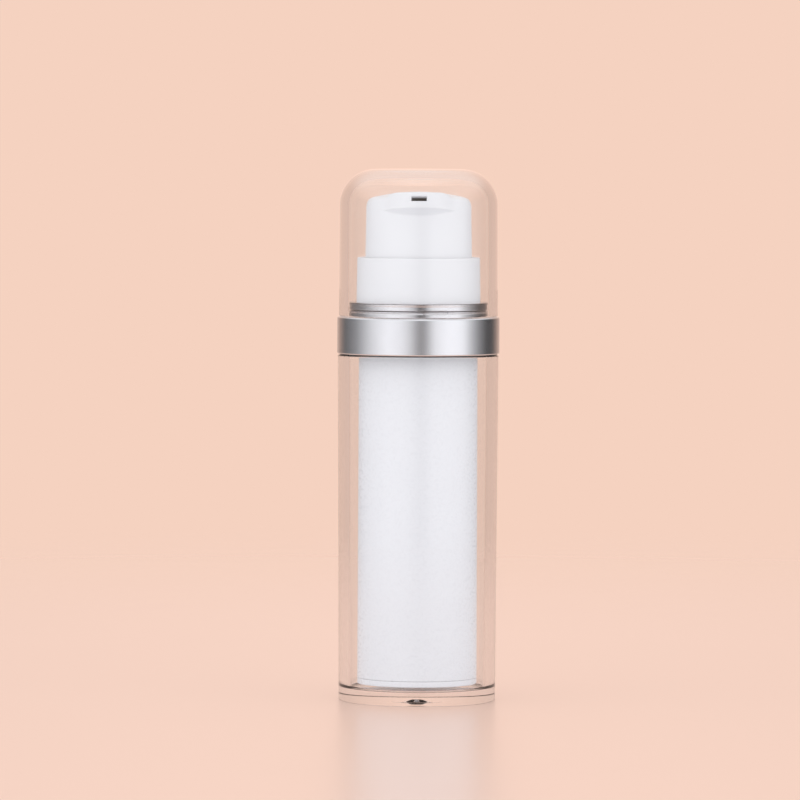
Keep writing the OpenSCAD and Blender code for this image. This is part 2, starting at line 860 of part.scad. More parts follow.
// The clear outer sleeve: a thick-floored cup whose neck the collar snaps over
module outer_sleeve() {
    snap_h = 0.6;
    snap_depth = 0.3;
    under = 1;
    gate_setback = 0.3;
    color(clear_plastic)
        difference() {
            rotate_extrude()
                polygon(concat(
                    [[0, 0]],
                    arc(sleeve_foot_r - foot_edge_r, foot_edge_r, foot_edge_r, -90, 0),
                    [
                        [sleeve_top_r, shoulder_z],
                        [sleeve_neck_r, shoulder_z],
                        [sleeve_neck_r, snap_z - snap_h],
                        [sleeve_neck_r - snap_depth, snap_z - snap_h / 2],
                        [sleeve_neck_r - snap_depth, snap_z + snap_h / 2],
                        [sleeve_neck_r, snap_z + snap_h],
                        [sleeve_neck_r, sleeve_rim_z],
                        [sleeve_bore_top_r, sleeve_rim_z],
                        [sleeve_bore_top_r, shoulder_z]
                    ],
                    arc(
                        sleeve_bore_foot_r - floor_corner_r,
                        floor_t + floor_corner_r,
                        floor_corner_r,
                        0,
                        -90
                    ),
                    [[0, floor_t]]
                ));
            // Moulding dimple with its gate stub
            translate([0, 0, -under])
                difference() {
                    cylinder(r1 = dimple_r + 0.5, r2 = dimple_r - 0.4, h = under + dimple_h);
                    translate([0, 0, under + gate_setback])
                        cylinder(r = gate_r, h = under + dimple_h);
                }
        }
}

over_cap();
actuator_shell();
nozzle_core();
outlet_ball();
return_spring();
pump_stem();
piston_rod();
pump_piston();
lock_ring();
pump_closure();
neck_gasket();
pump_housing();
inlet_ball();
neck_sleeve();
collar_ring();
collar_band();
inner_bottle();
base_cap();
follower_piston();
outer_sleeve();
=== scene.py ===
import math

import bpy
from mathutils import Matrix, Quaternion, Vector


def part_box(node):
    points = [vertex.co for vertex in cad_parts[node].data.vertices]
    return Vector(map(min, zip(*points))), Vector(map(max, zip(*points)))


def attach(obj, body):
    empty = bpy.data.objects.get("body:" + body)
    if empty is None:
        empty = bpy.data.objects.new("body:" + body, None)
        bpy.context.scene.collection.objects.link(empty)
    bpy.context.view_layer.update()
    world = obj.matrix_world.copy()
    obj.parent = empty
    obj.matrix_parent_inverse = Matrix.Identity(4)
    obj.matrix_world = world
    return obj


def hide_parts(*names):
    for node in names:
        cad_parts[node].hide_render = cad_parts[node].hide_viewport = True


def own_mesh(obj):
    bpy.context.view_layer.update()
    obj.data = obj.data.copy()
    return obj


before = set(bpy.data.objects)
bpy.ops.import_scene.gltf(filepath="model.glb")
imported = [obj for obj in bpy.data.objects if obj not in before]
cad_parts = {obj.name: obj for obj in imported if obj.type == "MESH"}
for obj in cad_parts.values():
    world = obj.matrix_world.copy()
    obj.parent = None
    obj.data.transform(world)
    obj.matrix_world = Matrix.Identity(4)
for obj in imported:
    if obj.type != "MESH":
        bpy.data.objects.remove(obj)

bl_info = {
    "name": "Airless pump bottle",
    "version": (1, 0, 0),
    "blender": (4, 5, 0),
    "location": "3D View > Sidebar > Bottle",
    "description": "Models the shells, collar and materials of a double-wall airless pump bottle",
    "category": "Add Mesh",
}

MM = 0.001
UP = (0, 0, 1)
TURN = 2 * math.pi
# Steps of a full turn, for the clear shells and for the rest
FINE_STEPS = 256
PLAIN_STEPS = 192
# Edges that meet at more than this stay sharp
SHARP = math.radians(32)
# A long straight keeps a point this near its ends, so that the edge beside it doesn't shade it
HOLD = 0.14 * MM
# Clearance between pieces that fit together
FIT = 0.04 * MM
# How far the band's lower edge stands above the sleeve's shoulder
SHOULDER_GAP = 0.3 * MM
# Angle of the first snap lug from the front
LUG_ANGLE = math.radians(13.4)
# The head's cage: columns of points round the axis, and how far from the front the spout's reach
COLUMNS = 48
STEP = TURN / COLUMNS
SPOUT_COLUMNS = 6
# How much of the spout's flat top each column holds, from the front outwards
PAD_SHARES = [1, 1, 1, 0.97, 0.8, 0.42, 0.1]
# What the table's light on the bottle is worth, so that the whites don't turn pink from below
NEUTRAL = (0.85, 0.85, 0.87, 1)
# The even light from all round, a little cool against the warm table
AMBIENT = (0.825, 0.835, 0.863, 1)
# What gloss shows round the bottle, by the angle from the front in degrees: the lamps with the
# camera's gap between them, and the flags at the sides
GLOSS_TONES = [
    (-128, 0.1), (-98, 0.24), (-70, 0.68), (-45, 0.98), (-22, 0.86), (-9, 0.58), (2, 0.14), (10, 0.26),
    (22, 0.85), (42, 1.0), (66, 0.98), (80, 0.5), (95, 0.22), (112, 0.05), (130, 0.06),
]
# How bright a tone of 1 is in gloss
GLOSS_LEVEL = 1.22
# Share of the side tone in what a clear wall reflects inside
SIDE_SHARE = 0.85
# Heights in the cap: light that goes round above the first passes out, and the snap lugs lie
# between the other two, where their edges get a painted grey outline
ROOF_Z = 95 * MM
LUG_Z = (89.75 * MM, 90.97 * MM)
# Pairs of heights where the ring is painted dark and not metallic, as painted shade
RING_PAINTED_SHADE = [
    (0, 85 * MM), (88.8 * MM, 89.08 * MM), (90.38 * MM, 90.5 * MM), (92.03 * MM, 92.16 * MM),
]


def length(label, text, millimetres):
    """A size that a user can change, stored in metres."""
    return bpy.props.FloatProperty(
        name=label, description=text, default=millimetres * MM, min=0, precision=5, unit="LENGTH"
    )


def linear(hex_colour):
    """An sRGB hex colour as linear red, green and blue."""
    parts = [int(hex_colour[i : i + 2], 16) / 255 for i in (1, 3, 5)]
    return [p / 12.92 if p <= 0.04045 else ((p + 0.055) / 1.055) ** 2.4 for p in parts]


def colour(label, text, hex_colour):
    """A colour that a user can change."""
    return bpy.props.FloatVectorProperty(
        name=label, description=text, default=linear(hex_colour), min=0, max=1, size=3, subtype="COLOR"
    )


class BottleSizes(bpy.types.PropertyGroup):
    """Sizes of the pieces that show. The boxes that they are set in come from the CAD parts."""

    cap_wall: length("Cap wall", "Wall of the over-cap at its rim", 2.1)
    cap_roof: length("Cap roof", "Thickness of the over-cap's roof", 2)
    cap_corner: length("Cap corner", "Outer radius between the cap's roof and wall", 8.4)
    cap_draft: length("Cap draft", "Radius that the cap loses from its rim to its roof", 0.16)
    rim_edge: length("Cap rim edge", "Radius on the edges of the cap's rim", 0.3)
    gate_mark: length("Gate mark", "Radius of the gate mark on the cap's roof", 0.8)
    lug_width: length("Lug width", "Width of one snap lug inside the cap", 5.4)
    lug_height: length("Lug height", "Height of one snap lug", 0.95)
    lug_reach: length("Lug reach", "How far a lug stands in from the cap's wall", 0.24)
    sleeve_wall: length("Sleeve wall", "Wall of the clear sleeve under the band", 2.7)
    sleeve_neck_wall: length("Sleeve neck wall", "Wall of the sleeve's neck in the collar", 1.6)
    sleeve_draft: length("Sleeve draft", "Radius the outside loses from band to foot", 0.48)
    bore_draft: length("Bore draft", "Radius the bore loses from band to floor", 0.35)
    floor: length("Floor", "Thickness of the sleeve's solid floor", 3)
    floor_corner: length("Floor corner", "Radius in the corner of bore and floor", 0.8)
    foot_edge: length("Foot edge", "Radius on the edge of the foot", 0.15)
    dimple: length("Dimple", "Radius of the shallow disc round the moulding gate", 3.78)
    dimple_depth: length("Dimple depth", "Depth of the moulding gate's dimple", 0.56)
    gate_dimple: length("Gate dimple", "Radius of the moulding gate's dimple", 2.2)
    gate_stub: length("Gate stub", "Radius of the broken gate stub in the dimple", 0.8)
    band_wall: length("Band wall", "Thickness of the band's metal", 0.4)
    band_edge: length("Band edge", "Radius on the band's top edge", 0.55)
    band_foot: length("Band foot", "Radius that the band's lower edge is rolled to", 0.34)
    deck: length("Collar deck", "Thickness of the collar's deck", 0.7)
    groove_height: length("Groove height", "Height of the snap groove above the deck", 1.86)
    groove_depth: length("Groove depth", "Depth of the snap groove", 0.3)
    bottle_wall: length("Bottle wall", "Least wall of the inner bottle", 0.98)
    bottle_draft: length("Bottle draft", "Radius the inner bottle gains to its foot", 0.12)
    parting_edge: length("Parting edge", "Radius on the edges of the bottle's parting line", 0.12)
    skirt_wall: length("Skirt wall", "Wall of the head's skirt", 1.2)
    head_draft: length("Head draft", "Radius the head gains from its crown to its skirt", 0.2)
    crown: length("Crown", "Radius of the curve of the head's crown", 34)
    spout_radius: length("Spout radius", "Radius of the spout, seen from above", 8.06)
    outlet_width: length("Outlet width", "Width of the outlet", 3.4)
    outlet_height: length("Outlet height", "Height of the outlet", 1.3)
    outlet_drop: length("Outlet depth", "Depth of the outlet's top under the crown", 1.2)
    wire: length("Spring wire", "Wire diameter of the return spring", 0.7)


class BottleColours(bpy.types.PropertyGroup):
    """Base colours of the finishes, and of the studio."""

    clear: colour("Clear plastic", "Tint of the clear shells", "#FEFEFE")
    white: colour("White plastic", "Colour of the head and the neck sleeve", "#F6F6F8")
    bottle: colour("Bottle plastic", "Colour of the inner bottle", "#F7F7FA")
    natural: colour("Natural plastic", "Colour of the unpigmented inner parts", "#DDD8CC")
    aluminium: colour("Anodised aluminium", "Colour of the band", "#E6E7EB")
    plating: colour("Metallising", "Colour of the metallised collar", "#E4E4E8")
    steel: colour("Steel", "Colour of the spring and the balls", "#B9BBBF")
    rubber: colour("Rubber", "Colour of the gasket", "#3E3E40")
    backdrop: colour("Backdrop", "Pale colour behind and under the bottle", "#F5D2C0")
    side: colour("Side tone", "What reflections inside a clear wall tend to", "#EFCCBB")


def reach(node):
    """The radius that a round CAD node reaches, and its lowest and highest z."""
    low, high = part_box(node)
    return high.x, low.z, high.z


def rounded(corners):
    """Points of an outline whose corners are (radius, z, fillet). A fillet of 0 stays sharp."""
    places = [Vector(corner[:2]) for corner in corners]
    points = []
    for index, here in enumerate(places):
        fillet = corners[index][2]
        if fillet == 0:
            points.append(here)
            continue
        back = (places[index - 1] - here).normalized()
        ahead = (places[(index + 1) % len(places)] - here).normalized()
        half = back.angle(ahead) / 2
        centre = here + (back + ahead).normalized() * fillet / math.sin(half)
        first = here + back * fillet / math.tan(half) - centre
        last = here + ahead * fillet / math.tan(half) - centre
        start = math.atan2(first.y, first.x)
        sweep = (math.atan2(last.y, last.x) - start + math.pi) % TURN - math.pi
        steps = 3 + int(5 * math.sqrt(fillet / MM))
        for step in range(steps + 1):
            angle = start + sweep * step / steps
            points.append(centre + fillet * Vector((math.cos(angle), math.sin(angle))))
    return points


def held(points, closed):
    """The outline with points added near the ends of its long straights."""
    ends = points[1:] + points[:1] if closed else points[1:]
    made = []
    for here, there in zip(points, ends):
        made.append(here)
        if (there - here).length > 6 * HOLD:
            step = (there - here).normalized() * HOLD
            made += [here + step, there - step]
    return made if closed else made + [points[-1]]


def clear_selection():
    """Leaves nothing selected, in object mode."""
    if bpy.context.object and bpy.context.object.mode != "OBJECT":
        bpy.ops.object.mode_set(mode="OBJECT")
    bpy.ops.object.select_all(action="DESELECT")


def activate(piece):
    """Selects one piece alone."""
    clear_selection()
    piece.select_set(True)
    bpy.context.view_layer.objects.active = piece


def place(piece):
    """Moves a piece's place, turn and scale into its mesh."""
    activate(piece)
    bpy.ops.object.transform_apply(location=True, rotation=True, scale=True)


def edit(piece, test=None):
    """Opens a piece with the points that pass the test selected, or all of them."""
    activate(piece)
    mesh = piece.data
    for polygon in mesh.polygons:
        polygon.select = False
    for edge in mesh.edges:
        edge.select = False
    for vertex in mesh.vertices:
        vertex.select = test is None or test(vertex.co)
    bpy.ops.object.mode_set(mode="EDIT")
    bpy.ops.mesh.select_mode(type="VERT")


def close_edit(angle=SHARP):
    """Ends edit mode and shades by angle."""
    bpy.ops.object.mode_set(mode="OBJECT")
    bpy.ops.object.shade_smooth_by_angle(angle=angle)


def tidy(piece, angle=SHARP):
    """Merges doubles and points all faces outward."""
    edit(piece)
    bpy.ops.mesh.remove_doubles(threshold=1e-6)
    bpy.ops.mesh.normals_make_consistent(inside=False)
    close_edit(angle)


def lathe(name, points, closed=True, steps=PLAIN_STEPS):
    """Draws an outline point by point and spins it about the Z axis. An open one ends on the axis."""
    outline = held(points, closed)
    first = outline[0]
    clear_selection()
    bpy.ops.mesh.primitive_plane_add(size=MM, location=(first.x, 0, first.y), enter_editmode=True)
    piece = bpy.context.object
    piece.name = name
    bpy.ops.mesh.select_all(action="SELECT")
    bpy.ops.mesh.merge(type="CENTER")
    for here, there in zip(outline, outline[1:] + outline[:1] if closed else outline[1:]):
        step = there - here
        bpy.ops.mesh.extrude_region_move(TRANSFORM_OT_translate={"value": (step.x, 0, step.y)})
    bpy.ops.object.mode_set(mode="OBJECT")
    place(piece)
    edit(piece)
    bpy.ops.mesh.remove_doubles(threshold=1e-7)
    bpy.ops.mesh.select_all(action="SELECT")
    bpy.ops.mesh.spin(steps=steps, angle=TURN, center=(0, 0, 0), axis=UP, use_auto_merge=True)
    bpy.ops.object.mode_set(mode="OBJECT")
    tidy(piece)
    return piece


def block(name, low, high):
    """A box between two corners, as a cutter or a start."""
    low, high = Vector(low), Vector(high)
    clear_selection()
    bpy.ops.mesh.primitive_cube_add(size=1, location=(low + high) / 2, scale=high - low)
    piece = bpy.context.object
    piece.name = name
    place(piece)
    return piece


def boolean(piece, tool, operation):
    """Joins, cuts or keeps what two pieces share, and removes the tool."""
    modifier = piece.modifiers.new("boolean", "BOOLEAN")
    modifier.object = tool
    modifier.operation = operation
    modifier.solver = "EXACT"
    activate(piece)
    if "FINISHED" not in bpy.ops.object.modifier_apply(modifier="boolean"):
        raise RuntimeError(f"{piece.name}: the boolean with {tool.name} failed")
    bpy.data.objects.remove(tool)


def bevel_edges(piece, test, width, segments):
    """Bevels the sharp edges of which both points pass the test."""
    edit(piece, lambda co: False)
    bpy.ops.mesh.select_mode(type="EDGE")
    bpy.ops.mesh.edges_select_sharp(sharpness=math.radians(40))
    bpy.ops.object.mode_set(mode="OBJECT")
    mesh = piece.data
    for edge in mesh.edges:
        edge.select = edge.select and all(test(mesh.vertices[v].co) for v in edge.vertices)
    for vertex in mesh.vertices:
        vertex.select = False
    for polygon in mesh.polygons:
        polygon.select = False
    bpy.ops.object.mode_set(mode="EDIT")
    bpy.ops.mesh.bevel(offset=width, segments=segments, affect="EDGES", clamp_overlap=True)
    bpy.ops.object.mode_set(mode="OBJECT")


def finish_piece(piece, node, body, slot):
    """Gives a piece the slot's material and its body, and hides the CAD node that it stands for."""
    activate(piece)
    piece.data.materials.clear()
    piece.data.materials.append(material_for(slot))
    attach(piece, body)
    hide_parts(node)
    clear_selection()


def add(tree, kind, inputs=None, **settings):
    """Adds one node. Each input takes a value, or the output that feeds it."""
    node = tree.nodes.new(kind)
    for name, value in settings.items():
        setattr(node, name, value)
    for name, value in (inputs or {}).items():
        socket = node.inputs[name]
        if isinstance(value, bpy.types.NodeSocket):
            tree.links.new(value, socket)
        else:
            socket.default_value = value
    return node


def opened(name):
    """A material, its emptied tree and the object's own coordinates."""
    material = bpy.data.materials.get(name) or bpy.data.materials.new(name)
    material.use_nodes = True
    tree = material.node_tree
    tree.nodes.clear()
    place_on = add(tree, "ShaderNodeTexCoord").outputs["Object"]
    return material, tree, place_on


def calc(tree, operation, *values):
    """The result of one math node, on values or outputs."""
    return add(tree, "ShaderNodeMath", dict(enumerate(values)), operation=operation).outputs[0]


def eased(tree, value, start, end):
    """0 at one value, 1 at another, and a smooth step between them."""
    inputs = {"Value": value, "From Min": start, "From Max": end}
    step = add(tree, "ShaderNodeMapRange", inputs, interpolation_type="SMOOTHSTEP")
    return step.outputs["Result"]


def blend(tree, share, first, second):
    """Two shaders mixed by a share of the second."""
    inputs = {0: share, 1: first.outputs[0], 2: second.outputs[0]}
    return add(tree, "ShaderNodeMixShader", inputs)


def bump(tree, strength, depth, height):
    """A normal from noise of a depth in metres."""
    inputs = {"Strength": strength, "Distance": depth, "Height": height.outputs["Fac"]}
    return add(tree, "ShaderNodeBump", inputs).outputs["Normal"]


def closed_by(tree, shader):
    """Feeds the material's output."""
    add(tree, "ShaderNodeOutputMaterial", {"Surface": shader.outputs[0]})


def opaque(rgb):
    return (*rgb, 1)


def shaded(rgb, share):
    """A colour made darker or lighter by a share."""
    return (*[min(part * share, 1) for part in rgb], 1)


def noise(tree, place_on, grain, detail=2):
    """Noise whose patches are about one grain across, with the grain in metres."""
    inputs = {"Vector": place_on, "Scale": 1 / grain, "Detail": detail, "Roughness": 0.5}
    return add(tree, "ShaderNodeTexNoise", inputs)


def ramp(tree, value, low, high):
    """Spreads noise, which lies near its middle, over a range of values."""
    inputs = {"Value": value, "From Min": 0.3, "From Max": 0.7, "To Min": low, "To Max": high}
    return add(tree, "ShaderNodeMapRange", inputs).outputs["Result"]


def mixed(tree, share, low, high):
    """A colour between two, each of them a colour or an output."""
    mix = add(tree, "ShaderNodeMix", data_type="RGBA")
    for index, value in ((0, share), (6, low), (7, high)):
        if isinstance(value, bpy.types.NodeSocket):
            tree.links.new(value, mix.inputs[index])
        else:
            mix.inputs[index].default_value = value
    return mix.outputs[2]


def between(tree, value, low, high):
    """1 where a value lies between two others, and 0 elsewhere."""
    return calc(tree, "COMPARE", value, (low + high) / 2, (high - low) / 2)


def clear_styrene():
    """Styrene-acrylonitrile, injection moulded against polished steel: clear as glass, with the
    faint flow waves and handling haze that keep its gloss from being perfectly even. Lamps and the
    room light what it covers as if it were open, and light that has gone round in the cap's roof
    for long passes out. The sloping edges of the snap lugs let light straight through with a grey
    tint: painted shade that outlines each lug in grey."""
    rgb = bpy.context.scene.bottle_colours.clear
    material, tree, place_on = opened("clear_moulded_styrene")
    flow = noise(tree, place_on, 11 * MM)
    haze = noise(tree, place_on, 3 * MM, 4)
    plastic = add(tree, "ShaderNodeBsdfPrincipled", {
        "Base Color": mixed(tree, flow.outputs["Fac"], opaque(rgb), shaded(rgb, 0.985)),
        "Roughness": ramp(tree, haze.outputs["Fac"], 0.008, 0.03),
        "IOR": 1.57,
        "Transmission Weight": 1.0,
        "Normal": bump(tree, 0.06, 0.05 * MM, flow),
    })
    path = add(tree, "ShaderNodeLightPath").outputs
    height = add(tree, "ShaderNodeSeparateXYZ", {"Vector": place_on}).outputs["Z"]
    long_way = calc(tree, "GREATER_THAN", path["Glossy Depth"], 2.5)
    ends = calc(tree, "MULTIPLY", long_way, calc(tree, "GREATER_THAN", height, ROOF_Z))
    flat = add(tree, "ShaderNodeVectorMath", {0: place_on, 1: (1, 1, 0)}, operation="MULTIPLY")
    outward = add(tree, "ShaderNodeVectorMath", {0: flat.outputs[0]}, operation="NORMALIZE")
    inputs = {0: place_on.node.outputs["Normal"], 1: outward.outputs[0]}
    facing = add(tree, "ShaderNodeVectorMath", inputs, operation="DOT_PRODUCT").outputs["Value"]
    # Painted shade: the lugs' sloping edge faces, which don't face the axis, turn to a grey see-through
    # film
    turned = calc(tree, "LESS_THAN", calc(tree, "ABSOLUTE", facing), 0.9)
    painted_lug_outline = calc(tree, "MULTIPLY", turned, between(tree, height, *LUG_Z))
    passes = path["Is Shadow Ray"]
    for other in (ends, calc(tree, "GREATER_THAN", path["Diffuse Depth"], 0.5), painted_lug_outline):
        passes = calc(tree, "MAXIMUM", passes, other)
    # The grey tint on the lug edges is painted shade, an outline round each lug
    tint = mixed(tree, painted_lug_outline, opaque(rgb), shaded(rgb, 0.2))
    let_through = add(tree, "ShaderNodeBsdfTransparent", {"Color": tint})
    closed_by(tree, blend(tree, passes, plastic, let_through))
    return material


def moulded_white(name, rgb, grain, sheen_low, sheen_high):
    """Polypropylene with white pigment, moulded against fine-sparked steel: a satin skin whose
    grain only shows as a soft sheen, with slow flow shades where it filled the mould."""
    material, tree, place_on = opened(name)
    flow = noise(tree, place_on, 9 * MM)
    skin = noise(tree, place_on, grain, 3)
    closed_by(tree, add(tree, "ShaderNodeBsdfPrincipled", {
        "Base Color": mixed(tree, flow.outputs["Fac"], opaque(rgb), shaded(rgb, 0.975)),
        "Roughness": ramp(tree, skin.outputs["Fac"], sheen_low, sheen_high),
        "IOR": 1.49,
        "Normal": bump(tree, 0.12, 0.02 * MM, skin),
    }))
    return material


def white_polypropylene():
    """The head and the neck sleeve, with a sparked grain of 0.3 mm."""
    rgb = bpy.context.scene.bottle_colours.white
    return moulded_white("moulded_white_polypropylene", rgb, 0.3 * MM, 0.3, 0.4)


def bottle_polypropylene():
    """The inner bottle, a cooler white with a finer, glossier skin."""
    rgb = bpy.context.scene.bottle_colours.bottle
    return moulded_white("moulded_bottle_polypropylene", rgb, 0.5 * MM, 0.24, 0.34)


def natural_polymer():
    """Acetal and polyethylene without pigment: milky, a little yellow, with light that soaks in."""
    rgb = bpy.context.scene.bottle_colours.natural
    material, tree, place_on = opened("moulded_natural_acetal")
    cloud = noise(tree, place_on, 2.5 * MM, 3)
    closed_by(tree, add(tree, "ShaderNodeBsdfPrincipled", {
        "Base Color": mixed(tree, cloud.outputs["Fac"], opaque(rgb), shaded(rgb, 0.9)),
        "Roughness": ramp(tree, cloud.outputs["Fac"], 0.3, 0.42),
        "IOR": 1.48,
        "Subsurface Weight": 0.15,
        "Subsurface Scale": 1.5 * MM,
    }))
    return material


def metal(name, rgb, grain, smooth, rough, depth, painted_dark=()):
    """Bright metal whose fine grain breaks up its reflections. Between the given pairs of heights it
    is painted dark and not metallic, as painted shade."""
    material, tree, place_on = opened(name)
    fine = noise(tree, place_on, grain, 3)
    slow = noise(tree, place_on, 14 * grain)
    bright, film = mixed(tree, slow.outputs["Fac"], opaque(rgb), shaded(rgb, 0.95)), 1.0
    # Painted shade: between the given heights the colour turns near black and the metal goes off
    if painted_dark:
        height = add(tree, "ShaderNodeSeparateXYZ", {"Vector": place_on}).outputs["Z"]
        for low_z, high_z in painted_dark:
            film = calc(tree, "SUBTRACT", film, between(tree, height, low_z, high_z))
        bright = mixed(tree, film, shaded(rgb, 0.04), bright)
    closed_by(tree, add(tree, "ShaderNodeBsdfPrincipled", {
        "Base Color": bright,
        "Metallic": film,
        "Roughness": ramp(tree, fine.outputs["Fac"], smooth, rough),
        "Normal": bump(tree, depth, 0.02 * MM, fine),
    }))
    return material


def anodised_aluminium():
    """Aluminium, satin blasted and anodised clear. The blasting is about 0.1 mm, and is drawn at
    0.25 mm so that it shows as the fine grain in the band's dark stripe."""
    rgb = bpy.context.scene.bottle_colours.aluminium
    return metal("satin_anodised_aluminium", rgb, 0.25 * MM, 0.23, 0.27, 0.03)


def metallised_abs():
    """ABS under a vacuum-deposited film and a clear lacquer: smoother and brighter than the band.
    The skirt that the band hides, the corner at the deck, the snap groove and the top edge's cove
    are painted dark and not metallic: painted shade that shows as dark lines."""
    rgb = bpy.context.scene.bottle_colours.plating
    return metal("vacuum_metallised_abs", rgb, 0.5 * MM, 0.08, 0.11, 0.02, RING_PAINTED_SHADE)


def spring_steel():
    """Stainless wire, drawn: bright, with fine die marks drawn at 0.25 mm."""
    rgb = bpy.context.scene.bottle_colours.steel
    return metal("drawn_spring_steel", rgb, 0.25 * MM, 0.18, 0.32, 0.1)


def ball_steel():
    """Stainless balls, ground and lapped to a mirror."""
    rgb = bpy.context.scene.bottle_colours.steel
    return metal("lapped_ball_steel", rgb, 0.6 * MM, 0.05, 0.09, 0.02)


def gasket_rubber():
    """Nitrile rubber, die cut from sheet: dull black with a talc bloom."""
    rgb = bpy.context.scene.bottle_colours.rubber
    material, tree, place_on = opened("cut_nitrile_rubber")
    bloom = noise(tree, place_on, 0.8 * MM, 4)
    closed_by(tree, add(tree, "ShaderNodeBsdfPrincipled", {
        "Base Color": mixed(tree, bloom.outputs["Fac"], opaque(rgb), shaded(rgb, 1.5)),
        "Roughness": ramp(tree, bloom.outputs["Fac"], 0.6, 0.8),
        "IOR": 1.52,
    }))
    return material


MATERIALS = {
    "clear_styrene": clear_styrene,
    "white_polypropylene": white_polypropylene,
    "bottle_polypropylene": bottle_polypropylene,
    "natural_polymer": natural_polymer,
    "anodised_aluminium": anodised_aluminium,
    "metallised_abs": metallised_abs,
    "spring_steel": spring_steel,
    "ball_steel": ball_steel,
    "gasket_rubber": gasket_rubber,
}
made_materials = {}


def material_for(slot):
    """The material of a slot, made once."""
    if slot not in made_materials:
        made_materials[slot] = MATERIALS[slot]()
    return made_materials[slot]


def cap_lugs(sizes, bore_r, mid_z):
    """Three slot-shaped pads on the cap's inner wall, cut to its curve and softened."""
    pad_depth = 4 * MM
    half = Vector((sizes.lug_width / 2, pad_depth / 2, sizes.lug_height / 2))
    face_r = bore_r - sizes.lug_reach
    root_r = bore_r + 0.5 * MM
    slack = 0.5 * MM
    ring = lathe("lug_ring", rounded([
        (face_r, mid_z - half.z - slack, 0),
        (root_r, mid_z - half.z - slack, 0),
        (root_r, mid_z + half.z + slack, 0),
        (face_r, mid_z + half.z + slack, 0),
    ]), steps=FINE_STEPS)
    pads = []
    for index in range(3):
        pad = block("lug_pad", -half, half)
        edit(pad, lambda co: False)
        bpy.ops.object.mode_set(mode="OBJECT")
        for edge in pad.data.edges:
            ends = [pad.data.vertices[v].co for v in edge.vertices]
            edge.select = abs(ends[0].y - ends[1].y) > half.y
        bpy.ops.object.mode_set(mode="EDIT")
        bpy.ops.mesh.select_mode(type="EDGE")
        bpy.ops.mesh.bevel(offset=half.z * 0.98, segments=8, affect="EDGES")
        bpy.ops.object.mode_set(mode="OBJECT")
        angle = LUG_ANGLE + TURN * index / 3
        pad.rotation_euler.z = angle
        pad.location = (face_r * math.sin(angle), -face_r * math.cos(angle), mid_z)
        place(pad)
        pads.append(pad)
    clear_selection()
    for pad in pads:
        pad.select_set(True)
    bpy.context.view_layer.objects.active = pads[0]
    bpy.ops.object.join()
    boolean(pads[0], ring, "INTERSECT")
    tidy(pads[0])
    limit = face_r + sizes.lug_reach / 2
    soft_edge = 0.2 * MM
    bevel_edges(pads[0], lambda co: math.hypot(co.x, co.y) < limit, soft_edge, 3)
    return pads[0]


class BOTTLE_OT_over_cap(bpy.types.Operator):
    """Models the clear over-cap, with its gate mark and its snap lugs"""

    bl_idname = "bottle.over_cap"
    bl_label = "Over-cap"

    def execute(self, context):
        sizes = context.scene.bottle_sizes
        rim_r, rim_z, top_z = reach("over_cap")
        bore_r = rim_r - sizes.cap_wall
        roof_z = top_z - sizes.cap_roof
        mark_r = sizes.gate_mark
        mark_z = top_z - mark_r / 4
        mark_edge = 0.05 * MM
        cap = lathe("over_cap_shell", rounded([
            (0, top_z, 0),
            (mark_r / 2, top_z, mark_edge),
            (mark_r / 2, mark_z, mark_edge),
            (mark_r, mark_z, mark_edge),
            (mark_r, top_z, mark_edge),
            (rim_r - sizes.cap_draft, top_z, sizes.cap_corner),
            (rim_r, rim_z, sizes.rim_edge),
            (bore_r, rim_z, sizes.rim_edge),
            (bore_r - sizes.cap_draft, roof_z, sizes.cap_corner - sizes.cap_wall),
            (0, roof_z, 0),
        ]), closed=False, steps=FINE_STEPS)
        groove_z = reach("collar_band")[2] - sizes.band_wall + sizes.groove_height
        boolean(cap, cap_lugs(sizes, bore_r, groove_z), "UNION")
        tidy(cap)
        finish_piece(cap, "over_cap", "cap", "clear_styrene")
        return {"FINISHED"}


class BOTTLE_OT_outer_sleeve(bpy.types.Operator):
    """Models the clear sleeve, with its thick floor and the dimple of its moulding gate"""

    bl_idname = "bottle.outer_sleeve"
    bl_label = "Outer sleeve"

    def execute(self, context):
        sizes = context.scene.bottle_sizes
        top_r, foot_z, rim_z = reach("outer_sleeve")
        foot_r = top_r - sizes.sleeve_draft
        bore_r = top_r - sizes.sleeve_wall
        neck_r = bore_r + sizes.sleeve_neck_wall
        shoulder_z = reach("collar_band")[1] - SHOULDER_GAP
        snap_z = (shoulder_z + rim_z) / 2
        snap_h = 0.6 * MM
        snap_r = neck_r - 0.3 * MM
        floor_z = foot_z + sizes.floor
        dimple_z = foot_z + sizes.dimple_depth
        stub_z = foot_z + 0.2 * MM
        disc_z = foot_z + 0.06 * MM
        edge = 0.12 * MM
        sleeve = lathe("outer_sleeve_shell", rounded([
            (0, stub_z, 0),
            (sizes.gate_stub, stub_z, edge),
            (sizes.gate_stub, dimple_z, edge),
            (sizes.gate_stub + 0.3 * MM, dimple_z, edge),
            (sizes.gate_dimple, disc_z, edge),
            (sizes.dimple, disc_z, 0),
            (sizes.dimple, foot_z, 0),
            (foot_r, foot_z, sizes.foot_edge),
            (top_r, shoulder_z, 0.2 * MM),
            (neck_r, shoulder_z, edge),
            (neck_r, snap_z - snap_h, 0),
            (snap_r, snap_z - snap_h / 2, edge),
            (snap_r, snap_z + snap_h / 2, edge),
            (neck_r, snap_z + snap_h, 0),
            (neck_r, rim_z, edge),
            (bore_r, rim_z, edge),
            (bore_r, shoulder_z, 0),
            (bore_r - sizes.bore_draft, floor_z, sizes.floor_corner),
            (0, floor_z, 0),
        ]), closed=False, steps=FINE_STEPS)
        finish_piece(sleeve, "outer_sleeve", "root", "clear_styrene")
        return {"FINISHED"}


